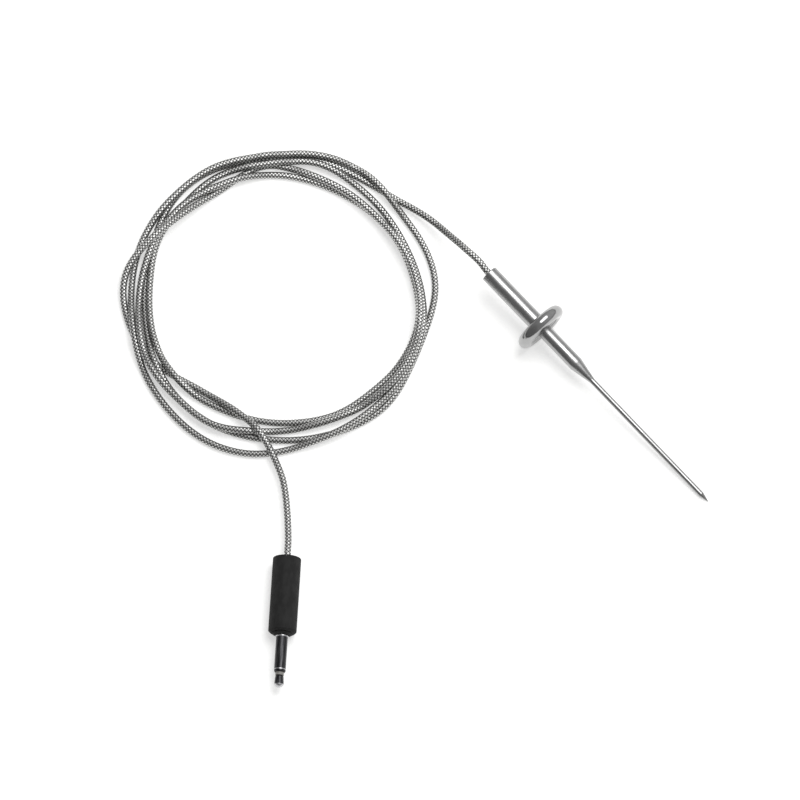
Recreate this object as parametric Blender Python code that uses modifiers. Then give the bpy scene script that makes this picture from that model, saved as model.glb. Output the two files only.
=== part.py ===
"""Meat thermometer: a stainless probe on a braided cable with a jack plug.

The probe lies on its grip ring and the end of its needle. Origin: on the table, under the middle of
the probe. +X runs along the probe towards its point, and +Z is up. Units are metres.
"""

from math import asin, atan2, cos, hypot, pi, radians, sin, sqrt

import bpy
import numpy as np
from mathutils import Matrix

MM = 0.001

# Probe, in millimetres. A station is a distance along the probe's axis from its cable end.
PROBE_LENGTH = 96.0
NEEDLE_DIAMETER = 1.75
NEEDLE_WALL = 0.25
BODY_DIAMETER = 4.45
BODY_WALL = 0.4
BODY_SETBACK = 1.0
SHOULDER_START = 38.2
SHOULDER_LENGTH = 7.2
POINT_LENGTH = 3.0
POINT_RADIUS = 0.06
SHANK_LENGTH = 2.0
SLEEVE_WALL = 0.35
SLEEVE_END_WALL = 1.0
SLEEVE_EDGE = 0.15
RING_DIAMETER = 17.1
RING_RIM = 4.1
RING_WEB = 2.4
RING_STATION = 22.65

# What the probe holds, in millimetres
BEAD_PLAY = 0.175
BEAD_LENGTH = 1.8
BEAD_TO_POINT = 0.9
LEAD_DIAMETER = 0.36
LEAD_STRAIGHT = 1.0
FERRULE_DIAMETER = 0.9
FERRULE_LENGTH = 3.2
FERRULE_STAGGER = 4.2
FERRULE_SPACE = 0.1
CORE_DIAMETER = 0.6
CORE_STRAIGHT = 2.0
CORE_SPREAD = 4.0
WRAP_PLAY = 0.15
WRAP_WALL = 0.2
WRAP_LENGTH = 18.0
WRAP_SETBACK = 0.6
CRIMP_LENGTH = 5.0
CRIMP_STATION = 4.0
CABLE_HELD = 12.0

# Cable, in millimetres. The first run starts under the probe's cable end and the second one where
# the cable leaves the coil. The coil's bearing is from the end of the first run to its centre.
CABLE_DIAMETER = 2.15
COIL_OUTER_RADIUS = 51.0
COIL_WIDTH = 15.0
COIL_HEIGHT = 6.0
COIL_BEARING = radians(-106.6)
LEAVING_BEARING = radians(-45.5)
PROBE_RUN = (
    (-3.4, 0.3, 11.3),
    (-8.4, 0.4, 11.0),
    (-13.4, 0.5, 9.6),
    (-18.2, 0.7, 7.2),
    (-22.9, 0.9, 5.0),
)
PLUG_RUN = (
    (0.0, 0.0, 3.0),
    (3.8, -1.7, 3.0),
    (6.8, -3.6, 3.0),
    (12.4, -7.9, 3.2),
    (17.7, -12.5, 3.7),
    (20.2, -14.9, 4.0),
)

# Plug, in millimetres. Its stations run from the grip's cable end towards the jack's tip.
PLUG_REAR = (23.2, -18.1)
PLUG_HEADING = radians(-46.9)
GRIP_DIAMETER = 8.5
GRIP_LENGTH = 23.4
GRIP_WALL = 1.1
GRIP_END_WALL = 1.6
GRIP_FRONT_WALL = 1.2
GRIP_ROUND = 0.4
GRIP_CHAMFER = 0.5
BOSS_SETBACK = 0.75
BOSS_HEIGHT = 0.9
BOSS_LIP = 0.15
ENTRY_WALL = 0.325
ENTRY_PROUD = 0.7
ENTRY_EDGE = 0.15
JACK_DIAMETER = 3.5
JACK_WALL = 0.5
JACK_SLEEVE_LENGTH = 11.35
JACK_EDGE = 0.2
JACK_BEVEL = 0.35
FLANGE_STEP = 0.25
FLANGE_THICKNESS = 0.35
HEAD_PLAY = 0.4
HEAD_THICKNESS = 1.2
NOSE_STEP = 0.45
NOSE_LENGTH = 1.0
TIP_NECK_DIAMETER = 2.5
TIP_NECK_EDGE = 0.15
TIP_NECK_LENGTH = 0.3
TIP_DIAMETER = 2.9
TIP_EDGE = 0.1
TIP_BARREL_LENGTH = 2.8
TIP_CAP_LENGTH = 0.85
TIP_CAP_END_DIAMETER = 1.2
PIN_DIAMETER = 1.2
PIN_TAIL = 4.2
WASHER_STEP = 0.5
WASHER_THICKNESS = 0.8
LUG_THICKNESS = 0.3
LUG_WIDTH = 2.0
LUG_PLAY = 0.8
LUG_END_RADIUS = 0.5
STRIP_LENGTH = 7.0
STRIP_WIDTH = 1.6
STRIP_PLAY = 0.4
STRIP_HOLE_DIAMETER = 0.7
CLAMP_LENGTH = 2.2
CLAMP_WALL = 0.35
CLAMP_SETBACK = 0.5
CABLE_IN_PLUG = 7.5
CORE_SPLIT = 0.4
CORE_LANDING = 1.0

# Clearances and fineness
FIT = 0.05
CORD_GAP = 0.3
CORD_POINT_SPACING = 2.5
STEPS_FINE = 48
STEPS = 32
STEPS_SMALL = 16
HOLE_SIDES = 12
RIM_POINTS = 22

BODY_START = SLEEVE_END_WALL + BODY_SETBACK
BODY_BORE = BODY_DIAMETER - 2 * BODY_WALL
NEEDLE_BORE = NEEDLE_DIAMETER - 2 * NEEDLE_WALL
SLEEVE_BORE = BODY_DIAMETER + 2 * FIT
SLEEVE_DIAMETER = SLEEVE_BORE + 2 * SLEEVE_WALL
SLEEVE_LENGTH = RING_STATION - RING_WEB / 2 - FIT
SHOULDER_END = SHOULDER_START + SHOULDER_LENGTH
POINT_START = PROBE_LENGTH - POINT_LENGTH
BEAD_DIAMETER = NEEDLE_BORE - 2 * BEAD_PLAY
BEAD_STATION = POINT_START - SHANK_LENGTH - BEAD_TO_POINT - BEAD_LENGTH / 2
WRAP_DIAMETER = BODY_BORE - 2 * WRAP_PLAY
WRAP_END = SHOULDER_START - WRAP_SETBACK
FERRULE_OFFSET = FERRULE_DIAMETER / 2 + FERRULE_SPACE
FERRULE_STATION = WRAP_END - WRAP_LENGTH / 2 - FERRULE_LENGTH / 2
CABLE_BORE = CABLE_DIAMETER + 2 * FIT
GRIP_BORE = GRIP_DIAMETER - 2 * GRIP_WALL
BOSS_DIAMETER = GRIP_DIAMETER - 2 * GRIP_CHAMFER - 2 * BOSS_SETBACK
BOSS_END = GRIP_LENGTH + BOSS_HEIGHT
ENTRY_DIAMETER = CABLE_BORE + 2 * ENTRY_WALL
JACK_BORE = JACK_DIAMETER - 2 * JACK_WALL
FLANGE_DIAMETER = JACK_DIAMETER + 2 * FLANGE_STEP
HEAD_DIAMETER = GRIP_BORE - 2 * HEAD_PLAY
HEAD_BACK = GRIP_LENGTH - GRIP_FRONT_WALL - FIT - HEAD_THICKNESS
JACK_END = BOSS_END + JACK_SLEEVE_LENGTH
NOSE_DIAMETER = JACK_DIAMETER - 2 * NOSE_STEP
TIP_START = JACK_END + NOSE_LENGTH + FIT
TIP_END = TIP_START + TIP_BARREL_LENGTH + TIP_CAP_LENGTH
WASHER_DIAMETER = HEAD_DIAMETER - 2 * WASHER_STEP
WASHER_BACK = HEAD_BACK - FIT - WASHER_THICKNESS
LUG_BACK = WASHER_BACK - FIT - LUG_THICKNESS
LUG_REACH = GRIP_BORE / 2 - LUG_PLAY
STRIP_OUTSIDE = sqrt((GRIP_BORE / 2 - STRIP_PLAY) ** 2 - (STRIP_WIDTH / 2) ** 2)

# The needle, where its point starts, and the rim both rest on the table, which sets the slope.
RIM_CIRCLE = RING_DIAMETER / 2 - RING_RIM / 2
REST_LENGTH = POINT_START - RING_STATION
REST_DROP = RIM_CIRCLE - NEEDLE_DIAMETER / 2
PROBE_SLOPE = atan2(REST_DROP, REST_LENGTH) + asin(RING_RIM / 2 / hypot(REST_DROP, REST_LENGTH))
PROBE_REAR = (
    (SLEEVE_DIAMETER / 2 * sin(PROBE_SLOPE) - PROBE_LENGTH * cos(PROBE_SLOPE)) / 2,
    0.0,
    POINT_START * sin(PROBE_SLOPE) + NEEDLE_DIAMETER / 2 * cos(PROBE_SLOPE),
)


def clear_scene():
    for thing in list(bpy.data.objects):
        bpy.data.objects.remove(thing, do_unlink=True)


def new_collection(name):
    collection = bpy.data.collections.new(name)
    bpy.context.scene.collection.children.link(collection)
    return collection


def material(name, colour, roughness, metallic):
    made = bpy.data.materials.new(name)
    made.use_nodes = True
    shader = made.node_tree.nodes["Principled BSDF"]
    shader.inputs["Base Color"].default_value = (*colour, 1.0)
    shader.inputs["Roughness"].default_value = roughness
    shader.inputs["Metallic"].default_value = metallic
    made.diffuse_color = (*colour, 1.0)
    return made


def axis_empty(name, collection, place, slope, heading):
    """An empty whose local +Z is the axis of the pieces on it."""
    empty = bpy.data.objects.new(name, None)
    empty.location = [value * MM for value in place]
    empty.rotation_euler = (0.0, pi / 2 + slope, heading)
    empty.empty_display_size = 5 * MM
    collection.objects.link(empty)
    return empty


def add_piece(name, data, collection, parent, finish):
    piece = bpy.data.objects.new(name, data)
    piece.parent = parent
    data.materials.append(finish)
    collection.objects.link(piece)
    return piece


def turned(name, collection, parent, finish, outline, closed, steps=STEPS):
    """Turns an outline of (radius, station) pairs, which runs down its outer side first."""
    mesh = bpy.data.meshes.new(name)
    points = [(radius * MM, 0.0, station * MM) for radius, station in outline]
    edges = [(i, i + 1) for i in range(len(points) - 1)]
    if closed:
        edges.append((len(points) - 1, 0))
    mesh.from_pydata(points, edges, [])
    piece = add_piece(name, mesh, collection, parent, finish)
    screw = piece.modifiers.new("turn", "SCREW")
    screw.axis = "Z"
    screw.steps = steps
    screw.render_steps = steps
    screw.use_merge_vertices = True
    screw.merge_threshold = 1e-6
    screw.use_smooth_shade = True
    return piece


def tube(name, collection, parent, finish, outer, inner, start, end, edge=0.0, steps=STEPS):
    """A straight turned tube between two stations, its outer edges broken by a chamfer."""
    outline = [(outer / 2 - edge, end), (outer / 2, end - edge)]
    outline += [(outer / 2, start + edge), (outer / 2 - edge, start)]
    if edge == 0.0:
        outline = [(outer / 2, end), (outer / 2, start)]
    outline += [(inner / 2, start), (inner / 2, end)]
    return turned(name, collection, parent, finish, outline, True, steps)


def rod(name, collection, parent, finish, diameter, start, end, steps=STEPS_SMALL):
    outline = [(0.0, end), (diameter / 2, end), (diameter / 2, start), (0.0, start)]
    return turned(name, collection, parent, finish, outline, False, steps)


def round_wire(name, collection, parent, finish, points, diameter):
    """A curve through the points in millimetres, as round wire with closed ends."""
    curve = bpy.data.curves.new(name, "CURVE")
    curve.dimensions = "3D"
    curve.bevel_depth = diameter / 2 * MM
    curve.bevel_resolution = 2
    curve.use_fill_caps = True
    spline = curve.splines.new("POLY")
    spline.points.add(len(points) - 1)
    for point, place in zip(spline.points, points):
        point.co = (place[0] * MM, place[1] * MM, place[2] * MM, 1.0)
    spline.use_smooth = True
    return add_piece(name, curve, collection, parent, finish)


def flat_plate(name, collection, parent, finish, outlines, thickness, matrix):
    """A plate from closed outlines in its own plane, the later ones being its holes."""
    curve = bpy.data.curves.new(name, "CURVE")
    curve.dimensions = "2D"
    curve.fill_mode = "BOTH"
    curve.extrude = thickness / 2 * MM
    for outline in outlines:
        spline = curve.splines.new("POLY")
        spline.points.add(len(outline) - 1)
        for point, place in zip(spline.points, outline):
            point.co = (place[0] * MM, place[1] * MM, 0.0, 1.0)
        spline.use_cyclic_u = True
    piece = add_piece(name, curve, collection, parent, finish)
    piece.matrix_local = matrix
    return piece


def arc(centre, radius, start, end, count):
    """Points on an arc in the plane, from one angle to the other in radians."""
    angles = np.linspace(start, end, count)
    return [(centre[0] + radius * cos(a), centre[1] + radius * sin(a)) for a in angles]


def smooth_route(points, spacing):
    """Points a spacing apart on the natural cubic through the route's own points."""
    knots = np.array(points, float)
    count = len(knots)
    reach = np.concatenate([[0.0], np.cumsum(np.linalg.norm(np.diff(knots, axis=0), axis=1))])
    step = np.diff(reach)
    system = np.eye(count)
    right = np.zeros((count, 3))
    for i in range(1, count - 1):
        system[i, i - 1 : i + 2] = step[i - 1], 2 * (step[i - 1] + step[i]), step[i]
        rise = (knots[i + 1] - knots[i]) / step[i] - (knots[i] - knots[i - 1]) / step[i - 1]
        right[i] = 6 * rise
    bend = np.linalg.solve(system, right)
    places = np.linspace(0.0, reach[-1], max(2, round(reach[-1] / spacing) + 1))
    part = np.clip(np.searchsorted(reach, places, side="right") - 1, 0, count - 2)
    after = (places - reach[part])[:, None]
    before = (reach[part + 1] - places)[:, None]
    width = step[part][:, None]
    curve = (bend[part] * before**3 + bend[part + 1] * after**3) / (6 * width)
    curve += (knots[part] / width - bend[part] * width / 6) * before
    return curve + (knots[part + 1] / width - bend[part + 1] * width / 6) * after


def along_axis(place, slope, heading, station):
    """The point at a station of an axis that starts at a place."""
    flat = station * cos(slope)
    return (
        place[0] + flat * cos(heading),
        place[1] + flat * sin(heading),
        place[2] - station * sin(slope),
    )


def probe_shell(parts, axis, steel):
    """The swaged tube with its needle, the point, the handle sleeve and the grip ring."""
    outline = [
        (NEEDLE_DIAMETER / 2, POINT_START - FIT),
        (NEEDLE_DIAMETER / 2, SHOULDER_END),
        (BODY_DIAMETER / 2, SHOULDER_START),
        (BODY_DIAMETER / 2, BODY_START),
        (BODY_BORE / 2, BODY_START),
        (BODY_BORE / 2, SHOULDER_START),
        (NEEDLE_BORE / 2, SHOULDER_END),
        (NEEDLE_BORE / 2, POINT_START - FIT),
    ]
    turned("probe_tube", parts, axis, steel, outline, True)

    shank = NEEDLE_BORE / 2 - FIT
    outline = [
        (0.0, PROBE_LENGTH),
        (POINT_RADIUS, PROBE_LENGTH),
        (NEEDLE_DIAMETER / 2, POINT_START),
        (shank, POINT_START),
        (shank, POINT_START - SHANK_LENGTH),
        (0.0, POINT_START - SHANK_LENGTH),
    ]
    turned("needle_point", parts, axis, steel, outline, False)

    outline = [
        (SLEEVE_DIAMETER / 2, SLEEVE_LENGTH),
        (SLEEVE_DIAMETER / 2, SLEEVE_EDGE),
        (SLEEVE_DIAMETER / 2 - SLEEVE_EDGE, 0.0),
        (CABLE_BORE / 2, 0.0),
        (CABLE_BORE / 2, SLEEVE_END_WALL),
        (SLEEVE_BORE / 2, SLEEVE_END_WALL),
        (SLEEVE_BORE / 2, SLEEVE_LENGTH),
    ]
    turned("handle_sleeve", parts, axis, steel, outline, True)


def grip_ring(parts, axis, steel):
    """A ring of round section on a flat web, bored to press on the probe tube."""
    rim = RING_RIM / 2
    web = RING_WEB / 2
    bore = BODY_DIAMETER / 2 + FIT
    turn = asin(web / rim)
    section = arc((RIM_CIRCLE, RING_STATION), rim, pi - turn, turn - pi, RIM_POINTS)
    outline = [(bore, RING_STATION + web)] + section + [(bore, RING_STATION - web)]
    turned("grip_ring", parts, axis, steel, outline, True, STEPS_FINE)


def sensor(parts, axis, glass, film, fill):
    """The thermistor bead at the needle's point, its two leads and the paste in front of it."""
    places = np.linspace(0.0, pi, 9)
    outline = [
        (BEAD_DIAMETER / 2 * sin(a), BEAD_STATION + BEAD_LENGTH / 2 * cos(a)) for a in places
    ]
    outline[0] = (0.0, BEAD_STATION + BEAD_LENGTH / 2)
    outline[-1] = (0.0, BEAD_STATION - BEAD_LENGTH / 2)
    turned("thermistor_bead", parts, axis, glass, outline, False, STEPS_SMALL)

    front = BEAD_STATION + BEAD_LENGTH / 2 + FIT
    paste = NEEDLE_BORE - 2 * FIT
    rod("thermal_paste", parts, axis, fill, paste, front, POINT_START - SHANK_LENGTH - FIT)

    for name, side in (("a", 1), ("b", -1)):
        start = FERRULE_STATION + FERRULE_LENGTH + side * FERRULE_STAGGER / 2 + FIT
        end = BEAD_STATION - BEAD_LENGTH / 2 - FIT
        close = side * (LEAD_DIAMETER / 2 + FIT)
        wide = side * FERRULE_OFFSET
        route = [
            (0, wide, start),
            (0, wide, start + LEAD_STRAIGHT),
            (0, close, SHOULDER_END + LEAD_STRAIGHT),
            (0, close, end),
        ]
        round_wire("thermistor_lead_" + name, parts, axis, film, route, LEAD_DIAMETER)


def splices(parts, axis, tin, film, wrap_finish):
    """Two staggered crimp ferrules that join the leads to the cable's cores, in one wrap."""
    for name, side in (("a", 1), ("b", -1)):
        offset = side * FERRULE_OFFSET
        start = FERRULE_STATION + side * FERRULE_STAGGER / 2
        ferrule = rod(
            "splice_ferrule_" + name, parts, axis, tin, FERRULE_DIAMETER, start, start + FERRULE_LENGTH
        )
        ferrule.location = (0.0, offset * MM, 0.0)
        close = side * (CORE_DIAMETER / 2 + FIT)
        route = [
            (0, close, CABLE_HELD + FIT),
            (0, close, CABLE_HELD + CORE_STRAIGHT),
            (0, offset, CABLE_HELD + CORE_STRAIGHT + CORE_SPREAD),
            (0, offset, start - FIT),
        ]
        round_wire("probe_core_" + name, parts, axis, film, route, CORE_DIAMETER)
    inner = WRAP_DIAMETER - 2 * WRAP_WALL
    start = WRAP_END - WRAP_LENGTH
    tube("splice_wrap", parts, axis, wrap_finish, WRAP_DIAMETER, inner, start, WRAP_END)


def cable_anchor(parts, axis, brass, braid):
    """The crimp that holds the braid in the handle, and the cable's end inside it."""
    outer = BODY_BORE - 2 * FIT
    end = CRIMP_STATION + CRIMP_LENGTH
    tube("cable_crimp", parts, axis, brass, outer, CABLE_BORE, CRIMP_STATION, end)
    rod("probe_cable_end", parts, axis, braid, CABLE_DIAMETER, 0.0, CABLE_HELD)


def plug_body(parts, axis, moulding):
    """The moulded grip with its front boss, and the collar where the cable enters."""
    radius = GRIP_DIAMETER / 2
    bore = GRIP_BORE / 2
    neck = JACK_DIAMETER / 2 + FIT
    rounded = arc((radius - GRIP_ROUND, GRIP_ROUND), GRIP_ROUND, 0.0, -pi / 2, 5)
    outline = [
        (FLANGE_DIAMETER / 2 + BOSS_LIP, BOSS_END),
        (BOSS_DIAMETER / 2, BOSS_END - BOSS_HEIGHT / 2),
        (BOSS_DIAMETER / 2, GRIP_LENGTH),
        (radius - GRIP_CHAMFER, GRIP_LENGTH),
        (radius, GRIP_LENGTH - GRIP_CHAMFER),
    ]
    outline += rounded
    outline += [
        (ENTRY_DIAMETER / 2 + FIT, 0.0),
        (ENTRY_DIAMETER / 2 + FIT, GRIP_END_WALL),
        (bore, GRIP_END_WALL),
        (bore, GRIP_LENGTH - GRIP_FRONT_WALL),
        (neck, GRIP_LENGTH - GRIP_FRONT_WALL),
        (neck, BOSS_END),
    ]
    turned("plug_grip", parts, axis, moulding, outline, True)
    tube(
        "cable_entry_collar",
        parts,
        axis,
        moulding,
        ENTRY_DIAMETER,
        CABLE_BORE,
        -ENTRY_PROUD,
        GRIP_END_WALL,
        ENTRY_EDGE,
    )


def jack(parts, axis, nickel, insulation):
    """The jack's sleeve contact, tip contact on its pin, and the insulator between them."""
    radius = JACK_DIAMETER / 2
    bore = JACK_BORE / 2
    flange_end = BOSS_END + FIT + FLANGE_THICKNESS
    outline = [
        (radius - JACK_EDGE, JACK_END),
        (radius, JACK_END - JACK_BEVEL),
        (radius, flange_end),
        (FLANGE_DIAMETER / 2, flange_end),
        (FLANGE_DIAMETER / 2, BOSS_END + FIT),
        (radius, BOSS_END + FIT),
        (radius, HEAD_BACK + HEAD_THICKNESS),
        (HEAD_DIAMETER / 2, HEAD_BACK + HEAD_THICKNESS),
        (HEAD_DIAMETER / 2, HEAD_BACK),
        (bore, HEAD_BACK),
        (bore, JACK_END),
    ]
    turned("jack_sleeve", parts, axis, nickel, outline, True)

    pin = PIN_DIAMETER / 2
    nose = NOSE_DIAMETER / 2
    outline = [
        (nose, JACK_END + NOSE_LENGTH),
        (nose, JACK_END + FIT),
        (bore - FIT, JACK_END + FIT),
        (bore - FIT, HEAD_BACK),
        (pin + FIT, HEAD_BACK),
        (pin + FIT, JACK_END + NOSE_LENGTH),
    ]
    turned("jack_insulator", parts, axis, insulation, outline, True)

    barrel_end = TIP_START + TIP_BARREL_LENGTH
    cap_edge = TIP_DIAMETER / 2 - TIP_EDGE
    outline = [
        (0.0, TIP_END),
        (TIP_CAP_END_DIAMETER / 2, TIP_END - TIP_EDGE),
        ((TIP_CAP_END_DIAMETER / 2 + cap_edge) / 2, barrel_end + TIP_CAP_LENGTH / 2),
        (cap_edge, barrel_end),
        (TIP_DIAMETER / 2, barrel_end - 2 * TIP_EDGE),
        (TIP_NECK_DIAMETER / 2, TIP_START + TIP_NECK_LENGTH),
        (TIP_NECK_DIAMETER / 2 - TIP_NECK_EDGE, TIP_START),
        (pin, TIP_START),
        (pin, HEAD_BACK - PIN_TAIL),
        (0.0, HEAD_BACK - PIN_TAIL),
    ]
    turned("jack_tip", parts, axis, nickel, outline, False)

    bore = PIN_DIAMETER + 2 * FIT
    end = WASHER_BACK + WASHER_THICKNESS
    tube("rear_washer", parts, axis, insulation, WASHER_DIAMETER, bore, WASHER_BACK, end)


def round_hole(place, diameter):
    """An outline for a hole in a flat plate, as a regular polygon."""
    angle = 2 * pi / HOLE_SIDES
    return arc(place, diameter / 2, 0.0, 2 * pi - angle, HOLE_SIDES)


def lugs(parts, axis, tin):
    """The tip's solder lug on its pin, the sleeve's solder strip and the cable clamp."""
    outer = arc((0.0, 0.0), LUG_WIDTH / 2, 0.0, -pi, 9)
    outer += arc((0.0, LUG_REACH - LUG_END_RADIUS), LUG_END_RADIUS, pi, 0.0, 5)
    hole = round_hole((0.0, 0.0), PIN_DIAMETER + 2 * FIT)
    place = Matrix.Translation((0.0, 0.0, (LUG_BACK + LUG_THICKNESS / 2) * MM))
    flat_plate("tip_lug", parts, axis, tin, [outer, hole], LUG_THICKNESS, place)

    end = HEAD_BACK - FIT
    half = STRIP_WIDTH / 2
    hole_station = end - STRIP_LENGTH + half
    outer = [(end, -half), (end, half)]
    outer += arc((hole_station, 0.0), half, pi / 2, 3 * pi / 2, 9)
    hole = round_hole((hole_station, 0.0), STRIP_HOLE_DIAMETER)
    aside = -(STRIP_OUTSIDE - LUG_THICKNESS / 2) * MM
    place = Matrix(((0, 1, 0, 0), (0, 0, 1, aside), (1, 0, 0, 0), (0, 0, 0, 1)))
    flat_plate("sleeve_lug", parts, axis, tin, [outer, hole], LUG_THICKNESS, place)

    outer = CABLE_BORE + 2 * CLAMP_WALL
    end = CABLE_IN_PLUG - CLAMP_SETBACK
    tube("cable_clamp", parts, axis, tin, outer, CABLE_BORE, end - CLAMP_LENGTH, end)


def plug_wiring(parts, axis, braid, film):
    """The cable's end in the plug and the two cores to the solder lugs."""
    rod("plug_cable_end", parts, axis, braid, CABLE_DIAMETER, -ENTRY_PROUD, CABLE_IN_PLUG)
    start = CABLE_IN_PLUG + FIT
    close = CORE_DIAMETER / 2 + FIT
    lug_side = LUG_REACH - LUG_END_RADIUS
    strip_side = -(STRIP_OUTSIDE - LUG_THICKNESS - FIT - CORE_DIAMETER / 2)
    strip_end = HEAD_BACK - FIT - STRIP_LENGTH + STRIP_WIDTH
    for name, side, offset, end in (
        ("a", 1, lug_side, LUG_BACK - FIT),
        ("b", -1, strip_side, strip_end),
    ):
        route = [
            (0, side * close, start),
            (0, side * close, start + CORE_SPLIT),
            (0, offset, end - CORE_LANDING),
            (0, offset, end),
        ]
        round_wire("plug_core_" + name, parts, axis, film, route, CORE_DIAMETER)


def cable_layout():
    """The first run, the coil's centre, the second run and the plug's rear end, each from the last."""
    first = [(PROBE_REAR[0] + x, PROBE_REAR[1] + y, z) for x, y, z in PROBE_RUN]
    reach = COIL_OUTER_RADIUS + CABLE_DIAMETER / 2 + CORD_GAP
    centre = (
        first[-1][0] + reach * cos(COIL_BEARING),
        first[-1][1] + reach * sin(COIL_BEARING),
    )
    leaving = (
        centre[0] + reach * cos(LEAVING_BEARING),
        centre[1] + reach * sin(LEAVING_BEARING),
    )
    second = [(leaving[0] + x, leaving[1] + y, z) for x, y, z in PLUG_RUN]
    plug = (leaving[0] + PLUG_REAR[0], leaving[1] + PLUG_REAR[1], GRIP_DIAMETER / 2)
    return first, centre, second, plug


def coil(parts, centre, braid):
    """The outer shape of the wound cable: a turned ring with rounded edges."""
    edge = CABLE_DIAMETER / 2
    outside = COIL_OUTER_RADIUS - edge
    inside = COIL_OUTER_RADIUS - COIL_WIDTH + edge
    outline = []
    corners = (
        (outside, COIL_HEIGHT - edge, pi / 2),
        (outside, edge, 0.0),
        (inside, edge, -pi / 2),
        (inside, COIL_HEIGHT - edge, -pi),
    )
    for radius, height, start in corners:
        outline += arc((radius, height), edge, start, start - pi / 2, 3)
    stand = bpy.data.objects.new("coil_centre", None)
    stand.location = (centre[0] * MM, centre[1] * MM, 0.0)
    parts.objects.link(stand)
    turned("cord_coil", parts, stand, braid, outline, True, STEPS_FINE)


def free_cords(parts, first, second, plug, braid):
    """The cable's two stretches outside the coil, each stopping short of what it meets."""
    spacing = CORD_POINT_SPACING * CABLE_DIAMETER
    exits = [
        along_axis(PROBE_REAR, PROBE_SLOPE, 0.0, -CORD_GAP),
        along_axis(PROBE_REAR, PROBE_SLOPE, 0.0, -CORD_GAP - CABLE_DIAMETER / 2),
    ]
    route = smooth_route(exits + first, spacing)
    round_wire("cord_probe_run", parts, None, braid, route, CABLE_DIAMETER)

    entry = -ENTRY_PROUD - CORD_GAP
    ends = [
        along_axis(plug, 0.0, PLUG_HEADING, entry - CABLE_DIAMETER / 2),
        along_axis(plug, 0.0, PLUG_HEADING, entry),
    ]
    route = smooth_route(second + ends, spacing)
    round_wire("cord_plug_run", parts, None, braid, route, CABLE_DIAMETER)


def build():
    clear_scene()
    parts = new_collection("meat_thermometer")
    steel = material("polished_steel", (0.62, 0.62, 0.63), 0.18, 1.0)
    braid = material("braided_steel", (0.45, 0.45, 0.46), 0.4, 1.0)
    moulding = material("moulded_black", (0.03, 0.03, 0.03), 0.55, 0.0)
    nickel = material("black_nickel", (0.25, 0.25, 0.26), 0.2, 1.0)
    insulation = material("insulator", (0.7, 0.69, 0.66), 0.45, 0.0)
    brass = material("brass", (0.72, 0.55, 0.28), 0.35, 1.0)
    tin = material("tinned_copper", (0.6, 0.58, 0.55), 0.35, 1.0)
    film = material("core_insulation", (0.75, 0.72, 0.62), 0.5, 0.0)
    glass = material("sensor_glass", (0.1, 0.12, 0.1), 0.1, 0.0)
    fill = material("thermal_paste", (0.8, 0.8, 0.78), 0.7, 0.0)

    first_run, coil_centre, second_run, plug_place = cable_layout()
    probe = axis_empty("probe_axis", parts, PROBE_REAR, PROBE_SLOPE, 0.0)
    probe_shell(parts, probe, steel)
    grip_ring(parts, probe, steel)
    sensor(parts, probe, glass, film, fill)
    splices(parts, probe, tin, film, moulding)
    cable_anchor(parts, probe, brass, braid)

    plug = axis_empty("plug_axis", parts, plug_place, 0.0, PLUG_HEADING)
    plug_body(parts, plug, moulding)
    jack(parts, plug, nickel, insulation)
    lugs(parts, plug, tin)
    plug_wiring(parts, plug, braid, film)

    coil(parts, coil_centre, braid)
    free_cords(parts, first_run, second_run, plug_place, braid)


build()
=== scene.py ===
"""Looks of a meat thermometer: a steel probe with a ring, a coiled braided cable and a jack plug.

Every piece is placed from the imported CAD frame, where +Z is up and the probe points along +X.
Outlines and routes are in millimetres, and MM turns them to the scene's metres.
"""

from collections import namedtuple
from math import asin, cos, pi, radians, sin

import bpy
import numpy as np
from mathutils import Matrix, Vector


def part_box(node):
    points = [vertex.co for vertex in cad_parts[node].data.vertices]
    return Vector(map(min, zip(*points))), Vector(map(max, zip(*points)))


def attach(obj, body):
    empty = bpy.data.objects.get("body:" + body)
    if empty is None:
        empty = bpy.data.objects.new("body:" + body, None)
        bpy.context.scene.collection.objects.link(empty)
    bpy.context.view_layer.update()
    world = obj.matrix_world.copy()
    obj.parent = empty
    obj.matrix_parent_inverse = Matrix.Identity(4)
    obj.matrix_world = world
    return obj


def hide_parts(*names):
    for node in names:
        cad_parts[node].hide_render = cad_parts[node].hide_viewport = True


bl_info = {
    "name": "Meat Thermometer",
    "version": (1, 0, 0),
    "blender": (4, 5, 0),
    "location": "View3D > Sidebar > Thermometer",
    "description": "Probe thermometer with a braided cable and a jack plug",
    "category": "Object",
}

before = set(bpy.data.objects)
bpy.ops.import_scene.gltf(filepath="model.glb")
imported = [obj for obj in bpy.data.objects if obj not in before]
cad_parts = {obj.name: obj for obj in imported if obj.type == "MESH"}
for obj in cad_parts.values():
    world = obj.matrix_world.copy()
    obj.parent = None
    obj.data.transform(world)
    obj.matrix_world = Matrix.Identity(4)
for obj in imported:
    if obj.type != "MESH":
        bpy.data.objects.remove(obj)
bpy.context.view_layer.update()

MM = 0.001

# The cable's runs outside its coil, in millimetres. The first starts under the probe's cable end,
# and the second starts where the cable leaves the coil. PROBE_EXIT and PLUG_ENTRY are the stations
# of its points on the probe's axis and on the plug's.
PROBE_RUN = (
    (-3.4, 0.3, 11.3),
    (-8.4, 0.4, 11.0),
    (-13.4, 0.5, 9.6),
    (-18.2, 0.7, 7.2),
    (-22.9, 0.9, 5.0),
)
PLUG_RUN = (
    (0.0, 0.0, 3.0),
    (3.8, -1.7, 3.0),
    (6.8, -3.6, 3.0),
    (12.4, -7.9, 3.2),
    (17.7, -12.5, 3.7),
    (20.2, -14.9, 4.0),
)
COIL_BEARING = radians(-106.6)
LEAVING_BEARING = radians(-45.5)
COIL_OUTER_RADIUS = 51.0
CORD_GAP = 0.3
CABLE_HELD = 12.0
PROBE_EXIT = (CABLE_HELD, CABLE_HELD / 2, 0.0, -1.4)
CABLE_IN_PLUG = 7.5
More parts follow.
